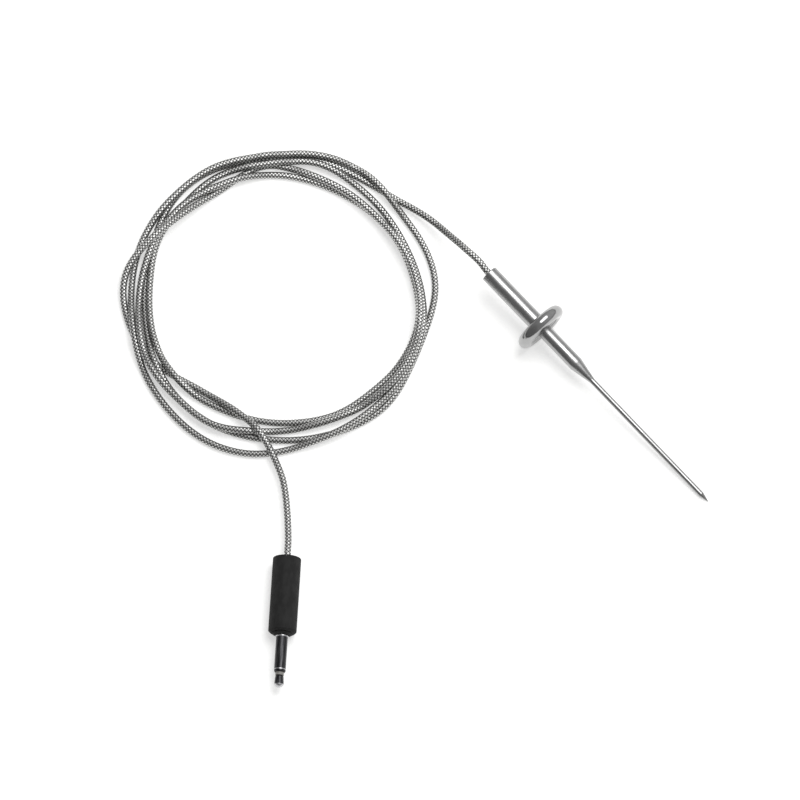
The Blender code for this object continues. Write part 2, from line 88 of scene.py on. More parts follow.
PLUG_ENTRY = (-2.1, -1.0, 3.0, CABLE_IN_PLUG)
ENTRY_PROUD = 0.7
ROUTE_STEP = 1.0

# How far each turn of the coil lies from the coil's centre, in millimetres, at every 18 degrees.
# The first turn starts at 90 degrees, and the last one ends where the cable leaves.
FIRST_ANGLE = 90.0
ANGLE_STEP = 18.0
TURNS = (
    (48.0, 46.5, 47.5, 47.0, 48.5, 48.0, 45.0, 43.0, 42.5, 43.5)
    + (44.0, 44.0, 43.5, 43.5, 44.0, 44.5, 43.0, 43.5, 46.0, 46.0),
    (46.0, 48.5, 48.5, 47.5, 48.5, 48.0, 48.0, 47.0, 46.5, 47.5)
    + (48.5, 49.5, 48.5, 45.5, 44.0, 43.0, 43.0, 42.5, 41.5, 41.0),
    (42.0, 44.0, 46.0, 45.0, 46.0, 44.5, 43.5, 41.5, 41.0, 41.0)
    + (40.0, 38.5, 38.0, 38.0, 38.5, 38.5, 40.0, 41.0, 40.0, 39.5),
    (39.5, 39.5, 40.5, 42.0, 42.5, 44.0, 44.0, 44.0, 44.5, 45.5)
    + (44.5, 44.5, 41.5, 40.0, 40.0, 41.0, 42.0, 41.5, 40.5, 39.5),
    (39.0, 40.0, 42.0, 45.0, 42.0, 41.5, 44.0, 49.0, 47.5, 43.5)
    + (38.0, 37.0, 42.0),
)
# Stretches of the last turn that pass under the turns before them, in degrees from its start.
TUCKED = ((1573.0, 1617.0), (1662.0, 1717.0))

# A crossing is lifted by cable that lies lower, this far away at least along the cable, and the
# cable comes down from it at the hump's slope.
CROSSING_SHARE = 0.96
CROSSING_APART = 8.0
HUMP_SLOPE = 0.25
HUMP_TOLERANCE = 0.001
HUMP_PASSES = 40
SOFTENING = np.array((1, 4, 6, 4, 1)) / 16
SOFTENING_PASSES = 2

# Stations along the probe, in millimetres from its cable end, and the radii there.
SLEEVE_RADIUS = 2.625
SLEEVE_BORE = 2.275
SLEEVE_END = 21.4
SLEEVE_WALL_END = 1.0
CABLE_BORE = 1.125
BODY_START = 2.0
BODY_BORE = 1.825
SHOULDER_START = 38.2
SHOULDER_END = 45.4
NEEDLE_BORE = 0.625
POINT_START = 93.0
POINT_SHANK = 0.575
POINT_SHANK_START = 91.0
POINT_END = 96.0
POINT_RADIUS = 0.06
RING_STATION = 22.65
RING_RIM = 2.05
RING_WEB = 1.2

# Stations along the plug, in millimetres from its cable end, and the radii there.
GRIP_BORE = 3.15
GRIP_ENTRY = 1.5
GRIP_REAR_WALL = 1.6
GRIP_FRONT_WALL = 1.2
BOSS_RADIUS = 3.0
BOSS_LIP = 2.15
BOSS_HEIGHT = 0.9
JACK_NECK = 1.8
ENTRY_RADIUS = 1.45
JACK_BORE = 1.25
JACK_HEAD = 2.75
JACK_HEAD_START = 20.95
JACK_HEAD_END = 22.15
FLANGE_RADIUS = 2.0
FLANGE_START = 24.35
FLANGE_END = 24.7
JACK_END = 35.65
JACK_BEVEL = 0.35
NOSE_RADIUS = 1.3
NOSE_START = 35.7
NOSE_END = 36.65
PIN_RADIUS = 0.6
PIN_START = 16.75
TIP_START = 36.7
TIP_END = 40.35
FIT = 0.05

# The braid has five broad ribbons of wire each way round, where a real one may have eight, so that
# its diamonds show at this size.
RIBBONS = 5
WIRES_PER_RIBBON = 5

# From the middle of a diamond, as shares of its side: how far a ribbon is flat across it and along
# its crown, and where it ends. Beyond the flat the braid darkens to its painted shade, which is
# full where the ribbon ends.
RIBBON_FLAT = 0.22
CROWN_FLAT = 0.2
RIBBON_HALF = 0.48

CABLE_SIDES = 30
TURNED_SIDES = 128
RING_SIDES = 192

# A rounded corner has another point on each side of it, this share of its rounding further out,
# which keeps the faces beyond it flat. The common roundings are in millimetres, for a ground edge,
# a turned one, a broken one and an eased one.
SUPPORT = 0.4
GROUND = 0.03
CRISP = 0.05
BROKEN = 0.08
EASED = 0.1

# The ring's rim stops this angle short of its web, which leaves room for a fillet.
RING_FILLET_TURN = 0.17
RIM_POINTS = 48

# Edges of the plug's pieces, in millimetres. Between the stations of each band pale metal is
# painted as a highlight, which fades over a short way beside it, and elsewhere its rub marks are
# bare by this share.
GRIP_ROUND = 0.4
GRIP_CHAMFER = 0.5
JACK_EDGE = 0.2
TIP_CAP = 0.85
TIP_CAP_END = 0.6
TIP_CAP_BULGE = 0.1
TIP_CROWN = 0.05
TIP_TOP = 0.15
TIP_NECK = 1.25
TIP_NECK_LENGTH = 0.3
TIP_NECK_EDGE = 0.15
HIGHLIGHT_BANDS = ((24.5, 24.7), (34.75, 34.87), (39.45, 40.4))
HIGHLIGHT_FADE = 0.1
RUB_SHARE = 0.1

# The middle of the view and the light's place over it, in millimetres. The room's level goes from
# dim to pale between two values of Y, and is lower near the horizon.
WHITE = (1.0, 1.0, 1.0, 1.0)
SENSOR_WIDTH = 36.0
CLIP_END = 20.0
VIEW_MIDDLE = (-39.5, -44.8, 0.0)
KEY_WAY = (-0.02, 0.36, 1.0)
KEY_DISTANCE = 900.0
KEY_SIDE = 560.0
ROOM_ACROSS = (-0.7, 0.9)
ROOM_DIM = 0.2
ROOM_PALE = 0.6
ROOM_LOW = 0.3
ROOM_LOW_TOP = 0.2

# The levels of Blender's noise that a grain stretches to 0 and 1.
GRAIN_LOW = 0.32
GRAIN_HIGH = 0.68

CABLE_NODES = ("cord_probe_run", "cord_coil", "cord_plug_run", "probe_cable_end", "plug_cable_end")

Axis = namedtuple("Axis", "start along side up")


def linear(code):
    """An sRGB hex code as linear red, green and blue."""
    channels = np.array([int(code[i : i + 2], 16) for i in (1, 3, 5)]) / 255
    curved = ((channels + 0.055) / 1.055) ** 2.4
    return tuple(np.where(channels <= 0.04045, channels / 12.92, curved).tolist())


def length_property(name, description, millimetres):
    return bpy.props.FloatProperty(
        name=name, description=description, default=millimetres * MM, unit="LENGTH", precision=5
    )


def colour_property(name, description, code):
    return bpy.props.FloatVectorProperty(
        name=name, description=description, default=linear(code), subtype="COLOR", min=0.0, max=1.0
    )


class CableSettings(bpy.types.PropertyGroup):
    diameter: length_property("Diameter", "Over the braid's crowns", 2.15)
    pitch: length_property("Braid pitch", "Length of one diamond of the braid", 1.1)
    relief: length_property("Relief", "How far the gaps lie below the crowns", 0.07)
    wire: colour_property("Wire", "Stainless wire on the crowns", "#e9e9e7")
    # Painted shade: the braid's colour where one ribbon dives under another.
    gap: colour_property("Gap", "Shaded wire where one ribbon dives under another", "#383838")


class ProbeSettings(bpy.types.PropertyGroup):
    needle_diameter: length_property("Needle diameter", "Of the thin tube", 1.75)
    body_diameter: length_property("Body diameter", "Of the wide tube behind it", 4.45)
    ring_diameter: length_property("Ring diameter", "Over the grip ring's rim", 17.1)
    steel: colour_property("Steel", "Polished stainless steel", "#acacac")


class PlugSettings(bpy.types.PropertyGroup):
    grip_diameter: length_property("Grip diameter", "Of the moulded grip", 8.5)
    grip_length: length_property("Grip length", "Without its front boss", 23.4)
    jack_diameter: length_property("Jack diameter", "Of the sleeve contact", 3.5)
    tip_diameter: length_property("Tip diameter", "Of the tip contact's barrel", 2.9)
    moulding: colour_property("Moulding", "Black vinyl of the grip", "#2d2d2d")
    nickel: colour_property("Nickel", "Dark plating of the contacts", "#2d2d2f")
    # The bare colour is the pale metal of the rub marks and of the painted highlights on the
    # contacts.
    bare_and_highlight: colour_property("Worn nickel", "Bright metal on the contacts' worn edges", "#c6c6c8")
    insulation: colour_property("Insulation", "Acetal ring between the contacts", "#94928e")


class StageSettings(bpy.types.PropertyGroup):
    azimuth: bpy.props.FloatProperty(
        name="Azimuth", description="Turn of the view", default=radians(46.43), subtype="ANGLE"
    )
    elevation: bpy.props.FloatProperty(
        name="Elevation", description="Height of the view", default=radians(71.5), subtype="ANGLE"
    )
    distance: length_property("Distance", "From the camera to the middle of the view", 2500.0)
    view_width: length_property("View width", "What the view takes in at its middle", 241.6)
    floor_side: length_property("Floor side", "Of the square floor", 4000.0)
    floor: colour_property("Floor", "White paper", "#f4f4f3")
    glow: bpy.props.FloatProperty(
        name="Glow", description="Light that comes through the floor", default=0.48, min=0.0
    )
    key_power: bpy.props.FloatProperty(
        name="Key power", description="Of the soft overhead light", default=4.2, unit="POWER"
    )


def add(tree, kind, inputs=None, output=None, **settings):
    """Adds a shader node with its settings and inputs, and gives its named or first live output.

    The inputs are by name or number, and each is a value or a socket to link.
    """
    made = tree.nodes.new("ShaderNode" + kind)
    for name, value in settings.items():
        setattr(made, name, value)
    for key, value in (inputs or {}).items():
        if isinstance(value, bpy.types.NodeSocket):
            tree.links.new(value, made.inputs[key])
        else:
            made.inputs[key].default_value = value
    if output:
        return made.outputs[output]
    return next(socket for socket in made.outputs if socket.enabled)


def new_material(name, **constants):
    """A material and its node tree, with values that are the same all over on its shader."""
    made = bpy.data.materials.new(name)
    made.use_nodes = True
    shader = made.node_tree.nodes["Principled BSDF"]
    for socket, value in constants.items():
        shader.inputs[socket].default_value = value
    return made, made.node_tree


def on_axis(tree, axis, sizes):
    """Object coordinates from an axis's start, over millimetre sizes along and across it."""
    turn = Matrix((axis.along, axis.side, axis.up)).transposed().to_euler()
    place = {
        "Vector": add(tree, "TexCoord", output="Object"),
        "Location": axis.start,
        "Rotation": turn,
        "Scale": [size * MM for size in sizes],
    }
    return add(tree, "Mapping", place, vector_type="TEXTURE")


def grain(tree, axis, sizes, detail=2.0):
    """Noise from 0 to 1, whose blotches have these millimetre sizes along and across an axis."""
    local = on_axis(tree, axis, sizes)
    noise = add(tree, "TexNoise", {"Vector": local, "Scale": 1.0, "Detail": detail})
    spread = {0: noise, 1: GRAIN_LOW, 2: GRAIN_HIGH}
    return add(tree, "MapRange", spread, interpolation_type="SMOOTHSTEP")


def finish(tree, colour, roughness, bump):
    """Links the shader's colour, roughness and normal to patterns that run from 0 to 1.

    The colour and roughness are each a pattern with the values at its 0 and its 1, and the bump is
    a pattern with its depth in millimetres.
    """
    shader = tree.nodes["Principled BSDF"]
    pattern, low, high = colour
    mixed = add(tree, "Mix", {0: pattern, 6: (*low, 1.0), 7: (*high, 1.0)}, data_type="RGBA")
    tree.links.new(mixed, shader.inputs["Base Color"])
    pattern, low, high = roughness
    ranged = add(tree, "MapRange", {0: pattern, 3: low, 4: high})
    tree.links.new(ranged, shader.inputs["Roughness"])
    pattern, depth = bump
    raised = add(tree, "Bump", {"Height": pattern, "Distance": depth * MM})
    tree.links.new(raised, shader.inputs["Normal"])


def shade(colour, share):
    """A colour times a share."""
    return [min(1.0, share * channel) for channel in colour]


def drawn_steel(axis, colour):
    """Stainless tube, drawn and brushed: satin reflections with faint lines along its length."""
    made, tree = new_material("drawn_stainless_steel", Metallic=1.0)
    lines = grain(tree, axis, (30.0, 0.12, 0.12))
    smears = grain(tree, axis, (6.0, 2.5, 2.5))
    finish(tree, (lines, shade(colour, 0.93), colour), (smears, 0.24, 0.34), (lines, 0.002))
    return made


def buffed_steel(axis, colour):
    """Stainless ring, turned and buffed: nearly a mirror, with faint lines around it and smears."""
    made, tree = new_material("buffed_stainless_steel", Metallic=1.0)
    lines = grain(tree, axis, (0.15, 9.0, 9.0))
    smears = grain(tree, axis, (2.0, 2.0, 2.0))
    finish(tree, (smears, shade(colour, 0.92), colour), (smears, 0.12, 0.2), (lines, 0.002))
    return made


def braided_wire(settings):
    """Braided stainless wire: the wire's colour on each crown, darkening to a painted shade where a
    ribbon dives under the next.

    The two sets of ribbons follow the sum and the difference of the turns around the cable and the
    diamonds along it. One set lies on top in every second diamond, as in a plain weave.
    """
    made, tree = new_material("braided_stainless_wire", Metallic=1.0)
    flat = add(tree, "UVMap", output="UV", uv_map="Braid")
    around = add(tree, "SeparateXYZ", {0: flat}, "X")
    along = add(tree, "SeparateXYZ", {0: flat}, "Y")
    rising = add(tree, "Math", {0: around, 1: along}, operation="ADD")
    falling = add(tree, "Math", {0: around, 1: along}, operation="SUBTRACT")
    rows = add(tree, "Math", {0: rising}, operation="FLOOR")
    columns = add(tree, "Math", {0: falling}, operation="FLOOR")
    diamond = add(tree, "Math", {0: rows, 1: columns}, operation="ADD")
    on_top = add(tree, "Math", {0: diamond, 1: 2.0}, operation="FLOORED_MODULO")
    first = add(tree, "Math", {0: rising}, operation="FRACT")
    second = add(tree, "Math", {0: falling}, operation="FRACT")
    across = add(tree, "Mix", {0: on_top, 2: first, 3: second})
    down = add(tree, "Mix", {0: on_top, 2: second, 3: first})
    aside = add(tree, "Math", {0: across, 1: 0.5}, operation="SUBTRACT")
    aside = add(tree, "Math", {0: aside}, operation="ABSOLUTE")
    dive = add(tree, "Math", {0: down, 1: 0.5}, operation="SUBTRACT")
    dive = add(tree, "Math", {0: dive}, operation="ABSOLUTE")
    edge = {0: aside, 1: RIBBON_FLAT, 2: RIBBON_HALF, 3: 1.0, 4: 0.0}
    edge = add(tree, "MapRange", edge, interpolation_type="SMOOTHSTEP")
    slope = {0: dive, 1: CROWN_FLAT, 2: RIBBON_HALF, 3: 1.0, 4: 0.0}
    slope = add(tree, "MapRange", slope, interpolation_type="SMOOTHSTEP")
    lit = add(tree, "Math", {0: edge, 1: slope}, operation="MULTIPLY")
    turns = add(tree, "Math", {0: across, 1: 2 * pi * WIRES_PER_RIBBON}, operation="MULTIPLY")
    wires = add(tree, "Math", {0: turns}, operation="COSINE")
    # The colour runs from painted shade at each ribbon's edges and ends to the wire's own on its
    # crown.
    finish(tree, (lit, settings.gap, settings.wire), (lit, 0.5, 0.3), (wires, -0.01))
    return made


def matte_vinyl(name, axis, colour):
    """Moulded black vinyl from a spark-eroded tool: matte, with a fine pebbled skin."""
    made, tree = new_material(name, **{"IOR": 1.5, "Specular IOR Level": 0.15})
    pebbles = grain(tree, axis, (0.22, 0.22, 0.22), 4.0)
    dust = grain(tree, axis, (3.0, 1.5, 1.5))
    finish(
        tree, (dust, shade(colour, 0.85), shade(colour, 1.2)), (pebbles, 0.68, 0.8), (pebbles, 0.02)
    )
    return made


def dark_nickel(axis, settings):
    """Turned brass under black nickel: dark and satin, with lengthwise rub marks.

    Between these stations pale metal is painted as highlights on the flange, a ring near the
    sleeve's front and the tip cap.
    """
    made, tree = new_material("black_nickel_plate", Metallic=1.0)
    lines = grain(tree, axis, (0.1, 6.0, 6.0))
    wear = grain(tree, axis, (5.0, 0.3, 0.3))
    station = add(tree, "SeparateXYZ", {0: on_axis(tree, axis, (1.0, 1.0, 1.0))}, "X")
    # Each band paints a highlight in pale metal, fading at its sides.
    bare_and_highlight = 0.0
    for start, end in HIGHLIGHT_BANDS:
        half = (end - start) / 2
        away = add(tree, "Math", {0: station, 1: start + half}, operation="SUBTRACT")
        away = add(tree, "Math", {0: away}, operation="ABSOLUTE")
        band = add(tree, "MapRange", {0: away, 1: half, 2: half + HIGHLIGHT_FADE, 3: 1.0, 4: 0.0})
        bare_and_highlight = add(tree, "Math", {0: band, 1: bare_and_highlight}, operation="MAXIMUM")
    marked = add(tree, "Math", {0: wear, 1: RUB_SHARE}, operation="MULTIPLY")
    worn_and_highlit = add(tree, "Math", {0: bare_and_highlight, 1: marked}, operation="MAXIMUM")
    # The colour is dark nickel, with pale metal in the painted highlight bands and in the rub
    # marks.
    finish(tree, (worn_and_highlit, settings.nickel, settings.bare_and_highlight), (wear, 0.3, 0.42), (lines, 0.0015))
    return made


def turned_acetal(axis, colour):
    """Turned acetal: pale and waxy, with faint tool lines around it."""
    made, tree = new_material("turned_acetal", IOR=1.48)
    lines = grain(tree, axis, (0.08, 6.0, 6.0))
    stain = grain(tree, axis, (0.9, 0.9, 0.9))
    finish(tree, (stain, shade(colour, 0.85), colour), (stain, 0.35, 0.5), (lines, 0.004))
    return made


def pressed_brass(axis):
    """Pressed brass tube, not plated: warm yellow with duller stained patches."""
    made, tree = new_material("pressed_brass", Metallic=1.0)
    stain = grain(tree, axis, (1.5, 0.8, 0.8), 4.0)
    lines = grain(tree, axis, (0.12, 3.0, 3.0))
    finish(tree, (stain, linear("#b08a45"), linear("#dcc07a")), (stain, 0.42, 0.25), (lines, 0.003))
    return made


def tinned_copper(axis):
    """Hot-tinned copper: grey-white and slightly lumpy, with a soft shine."""
    made, tree = new_material("hot_tinned_copper", Metallic=1.0)
    lumps = grain(tree, axis, (0.6, 0.4, 0.4), 3.0)
    finish(tree, (lumps, linear("#a8a59f"), linear("#d5d3cd")), (lumps, 0.28, 0.45), (lumps, 0.02))
    return made


def fluoroplastic(axis):
    """Extruded fluoroplastic core insulation: milky cream with faint lines along it."""
    made, tree = new_material("extruded_fluoroplastic", IOR=1.38)
    lines = grain(tree, axis, (4.0, 0.12, 0.12))
    finish(tree, (lines, linear("#cfc5a6"), linear("#ebe5d2")), (lines, 0.32, 0.45), (lines, 0.004))
    return made


def sensor_glass(axis):
    """Fused sensor glass: dark green and glossy, with a few seeds in it."""
    made, tree = new_material("fused_sensor_glass", IOR=1.52)
    seeds = grain(tree, axis, (0.2, 0.2, 0.2), 3.0)
    finish(tree, (seeds, linear("#26302a"), linear("#4a564e")), (seeds, 0.05, 0.12), (seeds, 0.004))
    return made


def heat_paste(axis):
    """Heat-conducting paste: white and grainy, matte where it has dried."""
    made, tree = new_material("heat_conducting_paste", IOR=1.45)
    lumps = grain(tree, axis, (0.3, 0.25, 0.25), 5.0)
    finish(tree, (lumps, linear("#cfcfca"), linear("#f0f0ec")), (lumps, 0.6, 0.8), (lumps, 0.05))
    return made


def middle(node):
    """The middle of a CAD node's box."""
    low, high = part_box(node)
    return (Vector(low) + Vector(high)) / 2


def axis_through(rear, rear_station, front):
    """The axis through the middles of two CAD nodes, started at the station 0 behind the first."""
    along = (middle(front) - middle(rear)).normalized()
    side = along.cross(Vector((0, 0, 1))).normalized()
    return Axis(middle(rear) - along * rear_station * MM, along, side, side.cross(along))


def probe_axis():
    return axis_through("probe_cable_end", CABLE_HELD / 2, "splice_wrap")


def plug_axis():
    return axis_through("plug_cable_end", (CABLE_IN_PLUG - ENTRY_PROUD) / 2, "rear_washer")


def skin(name, grid, loop, pattern=None):
    """A closed mesh over a grid of points, with rows along the piece and columns round it.

    Each face joins two neighbours in a row with the two beside them in the next row, and the last
    column joins the first. The rows join up too if loop is set, and otherwise each end row is
    closed by a fan about its middle. The pattern gives the UV map's name, its width and each row's
    height.
    """
    rows, columns = grid.shape[:2]
    row = np.arange(rows if loop else rows - 1)[:, None]
    column = np.arange(columns)[None, :]
    beside = (column + 1) % columns
    below = row * columns
    above = (row + 1) % rows * columns
    quads = np.stack(
        [below + column, below + beside, above + beside, above + column], axis=-1
    ).reshape(-1, 4)
    points = grid.reshape(-1, 3)
    fans = np.empty((0, 3), int)
    if not loop:
        ends = np.array([grid[0].mean(axis=0), grid[-1].mean(axis=0)])
        points = np.concatenate([points, ends])
        last = (rows - 1) * columns
        hub = rows * columns
        start = np.stack([np.full(columns, hub), beside[0], column[0]], axis=-1)
        end = np.stack([np.full(columns, hub + 1), last + column[0], last + beside[0]], axis=-1)
        fans = np.concatenate([start, end])
    corners = points[quads]
    crossed = np.cross(corners[:, 2] - corners[:, 0], corners[:, 3] - corners[:, 1])
    if (crossed * corners.mean(axis=1)).sum() < 0:
        quads = quads[:, ::-1]
        fans = fans[:, ::-1]
    mesh = bpy.data.meshes.new(name)
    mesh.from_pydata(points.tolist(), [], quads.tolist() + fans.tolist())
    mesh.polygons.foreach_set("use_smooth", np.ones(len(mesh.polygons), bool))
    if pattern:
        layer, width, heights = pattern
        around = np.empty(len(mesh.loops), np.int32)
        mesh.loops.foreach_get("vertex_index", around)
        spot = np.minimum(around, rows * columns - 1)
        turn = spot % columns * width / columns
        coordinates = np.stack([turn, heights[spot // columns]], axis=-1)
        faces = coordinates[: quads.size].reshape(-1, 4, 2)
        seam = np.ptp(faces[:, :, 0], axis=1) > width / 2
        wrapped = faces[seam]
        wrapped[:, :, 0] += np.where(wrapped[:, :, 0] < width / 2, width, 0.0)
        faces[seam] = wrapped
        mesh.uv_layers.new(name=layer).data.foreach_set("uv", coordinates.ravel())
    mesh.validate()
    mesh.update()
    made = bpy.data.objects.new(name, mesh)
    bpy.context.scene.collection.objects.link(made)
    return made


def rounded(corners, steps=6):
    """An outline through (radius, station, rounding) corners, all in millimetres.

    A corner C with a rounding runs on the quadratic curve (1-t)^2 S + 2t(1-t) C + t^2 E, where S
    and E lie that far from C towards the corners before and after it. A point just outside each of
    them keeps the faces beyond flat.
    """
    places = np.array([corner[:2] for corner in corners], float)
    share = np.linspace(0.0, 1.0, steps)[:, None]
    outline = []
    for i, (radius, station, rounding) in enumerate(corners):
        corner = places[i]
        if rounding == 0.0:
            outline.append(corner[None])
            continue
        ends = []
        for beyond in (places[i - 1], places[(i + 1) % len(places)]):
            way = beyond - corner
            ends.append(corner + way / np.linalg.norm(way) * rounding)
        start, end = ends
        curve = (1 - share) ** 2 * start + 2 * share * (1 - share) * corner + share**2 * end
        outline.append(start[None] + (start - corner) * SUPPORT)
        outline.append(curve)
        outline.append(end[None] + (end - corner) * SUPPORT)
    return np.concatenate(outline)


def turned(name, axis, outline, loop, sides=TURNED_SIDES):
    """An outline of (radius, station) turned about an axis.

    The point at angle a is start + station * along + radius * (cos a * side + sin a * up).
    """
    start, along, side, up = (np.array(vector) for vector in axis)
    angle = np.linspace(0.0, 2 * pi, sides, endpoint=False)[None, :, None]
    radius = outline[:, 0, None, None] * MM
    station = outline[:, 1, None, None] * MM
    grid = start + station * along + radius * (np.cos(angle) * side + np.sin(angle) * up)
    return skin(name, grid, loop)


def give(piece, material, slot, *nodes):
    """A finished piece takes its material, rides the object and replaces its CAD nodes. The slot is
    not used.
    """
    piece.data.materials.append(material)
    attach(piece, "root")
    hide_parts(*nodes)


def natural_cubic(points, spacing):
    """Points a spacing apart on the smooth curve through the given points.

    Between two of them the curve is the cubic whose bend runs evenly from one to the other, and the
    bends are those that make neighbouring cubics meet with one slope. Each new point's distance
    along the straight lines between the given points comes with it, and so do theirs.
    """
    count = len(points)
    reach = np.concatenate([[0.0], np.cumsum(np.linalg.norm(np.diff(points, axis=0), axis=1))])
    step = np.diff(reach)
    inside = np.arange(1, count - 1)
    system = np.eye(count)
    system[inside, inside - 1] = step[:-1]
    system[inside, inside] = 2 * (step[:-1] + step[1:])
    system[inside, inside + 1] = step[1:]
    slope = np.diff(points, axis=0) / step[:, None]
    right = np.zeros(points.shape)
    right[1:-1] = 6 * np.diff(slope, axis=0)
    bend = np.linalg.solve(system, right)
    places = np.linspace(0.0, reach[-1], round(reach[-1] / spacing) + 1)
    part = np.clip(np.searchsorted(reach, places, side="right") - 1, 0, count - 2)
    after = (places - reach[part])[:, None]
    before = (reach[part + 1] - places)[:, None]
    width = step[part][:, None]
    curve = (bend[part] * before**3 + bend[part + 1] * after**3) / (6 * width)
    curve += (points[part] / width - bend[part] * width / 6) * before
    curve += (points[part + 1] / width - bend[part + 1] * width / 6) * after
    return curve, places, reach


def on_line(axis, station):
    """The point at a station of an axis, in millimetres."""
    return np.array(axis.start) / MM + station * np.array(axis.along)


def cable_points(probe, plug, diameter):
    """The cable's listed points in millimetres, and the numbers of the coil's first and last.

    It leaves the handle straight, follows its first run to the coil, its turns lie at their own
    distances from the coil's centre, and the second run takes it straight into the plug.
    """
    first = [on_line(probe, station) for station in PROBE_EXIT]
    rear = on_line(probe, 0.0) * (1, 1, 0)
    first += [rear + place for place in np.array(PROBE_RUN)]
    reach = COIL_OUTER_RADIUS + diameter / 2 + CORD_GAP
    centre = first[-1][:2] + reach * np.array((cos(COIL_BEARING), sin(COIL_BEARING)))
    leaving = centre + reach * np.array((cos(LEAVING_BEARING), sin(LEAVING_BEARING)))
    radii = np.concatenate(TURNS)
    angles = np.radians(FIRST_ANGLE + ANGLE_STEP * np.arange(len(radii)))
    turns = np.stack(
        [
            centre[0] + radii * np.cos(angles),
            centre[1] + radii * np.sin(angles),
            np.full(len(radii), diameter / 2),
        ],
        axis=-1,
    )
    second = [np.array((*leaving, 0.0)) + place for place in np.array(PLUG_RUN)]
    second += [on_line(plug, station) for station in PLUG_ENTRY]
    points = np.concatenate([first, turns, second])
    return points, len(first) - 1, len(first) + len(turns), centre


def lift_crossings(plan, places, heights, angles, diameter):
    """Heights that carry the cable over itself in long low humps.

    Cable that lies later in the coil is on top, but its tucked stretches are under everything.
    Where two stretches are a plan distance d apart, the upper one is at least sqrt(D^2 - d^2) above
    the lower one for the diameter D, and from there its height falls at the hump's slope.
    """
    order = np.arange(len(plan), dtype=float)
    for start, end in TUCKED:
        order[(angles >= start) & (angles <= end)] -= len(plan)
    apart = np.abs(places[:, None] - places[None])
    distance = np.linalg.norm(plan[:, None] - plan[None], axis=2)
    crossing = (distance < CROSSING_SHARE * diameter) & (apart > CROSSING_APART)
    above = crossing & (order[:, None] > order[None])
    rise = np.sqrt(np.maximum(diameter**2 - distance**2, 0.0))
    for _ in range(HUMP_PASSES):
        carried = np.where(above, heights[None] + rise, 0.0).max(axis=1)
        lifted = np.maximum(heights, carried)
        lifted = (lifted[None] - HUMP_SLOPE * apart).max(axis=1)
        if np.abs(lifted - heights).max() < HUMP_TOLERANCE:
            return lifted
        heights = lifted
    raise ValueError("the coil's turns don't settle on each other")


def cable_route(probe, plug, diameter):
    """The cable's centreline in millimetres, from inside the handle to inside the plug."""
    points, first, last, centre = cable_points(probe, plug, diameter)
    plan, places, reach = natural_cubic(points[:, :2], ROUTE_STEP)
    heights = np.interp(places, reach, points[:, 2])
    wound = slice(np.searchsorted(places, reach[first]), np.searchsorted(places, reach[last]) + 1)
    spokes = plan - centre
    angles = np.degrees(np.unwrap(np.arctan2(spokes[:, 1], spokes[:, 0])))
    heights[wound] = lift_crossings(
        plan[wound], places[wound], heights[wound], angles[wound], diameter
    )
    for _ in range(SOFTENING_PASSES):
        heights = np.convolve(np.pad(heights, 2, mode="edge"), SOFTENING, "valid")
    return np.column_stack([plan, heights])


def braid_tube(route, settings):
    """The braid's skin along a route in millimetres.

    The radius at u turns around and v diamonds along is half the diameter, less the relief times
    half of 1 + cos(2 pi n u) * cos(2 pi v) for n ribbons. The tube's own up stays nearest to the
    scene's.
    """
    pitch = settings.pitch / MM
    relief = settings.relief / MM
    line, _, _ = natural_cubic(route, pitch / 2)
    ahead = np.gradient(line, axis=0)
    ahead /= np.linalg.norm(ahead, axis=1)[:, None]
    side = np.cross(ahead, (0.0, 0.0, 1.0))
    side /= np.linalg.norm(side, axis=1)[:, None]
    up = np.cross(side, ahead)
    step = np.linalg.norm(np.diff(line, axis=0), axis=1)
    diamonds = np.concatenate([[0.0], np.cumsum(step)]) / pitch
    rows = np.arange(len(line))[:, None] / 2
    angle = np.linspace(0.0, 2 * pi, CABLE_SIDES, endpoint=False)[None, :]
    gap = (1 + np.cos(RIBBONS * angle) * np.cos(2 * pi * rows)) / 2
    radius = (settings.diameter / MM / 2 - relief * gap)[:, :, None]
    around = np.cos(angle)[:, :, None] * side[:, None] + np.sin(angle)[:, :, None] * up[:, None]
    grid = (line[:, None] + radius * around) * MM
    tube = skin("braided_cable", grid, False, ("Braid", RIBBONS, rows[:, 0]))
    return tube, line * MM, step.sum() * MM


class THERMOMETER_OT_stage(bpy.types.Operator):
    """Set up the camera, the white paper floor and the soft lights"""

    bl_idname = "thermometer.stage"
    bl_label = "Stage"

    def execute(self, context):
        settings = context.scene.thermometer_stage
        level = cos(settings.elevation)
        back = Vector(
            (sin(settings.azimuth) * level, -cos(settings.azimuth) * level, sin(settings.elevation))
        )
        target = Vector(VIEW_MIDDLE) * MM
        camera = bpy.data.objects.new("camera", bpy.data.cameras.new("camera"))
        camera.data.sensor_width = SENSOR_WIDTH
        camera.data.lens = SENSOR_WIDTH * settings.distance / settings.view_width
        camera.data.clip_end = CLIP_END
        camera.location = target + back * settings.distance
        camera.rotation_euler = (-back).to_track_quat("-Z", "Y").to_euler()
        context.scene.collection.objects.link(camera)
        context.scene.camera = camera
        context.scene.view_settings.view_transform = "Standard"
        paper_floor(context.scene, settings)
        key_light(context.scene, settings, target)
        soft_room(context.scene)
        return {"FINISHED"}


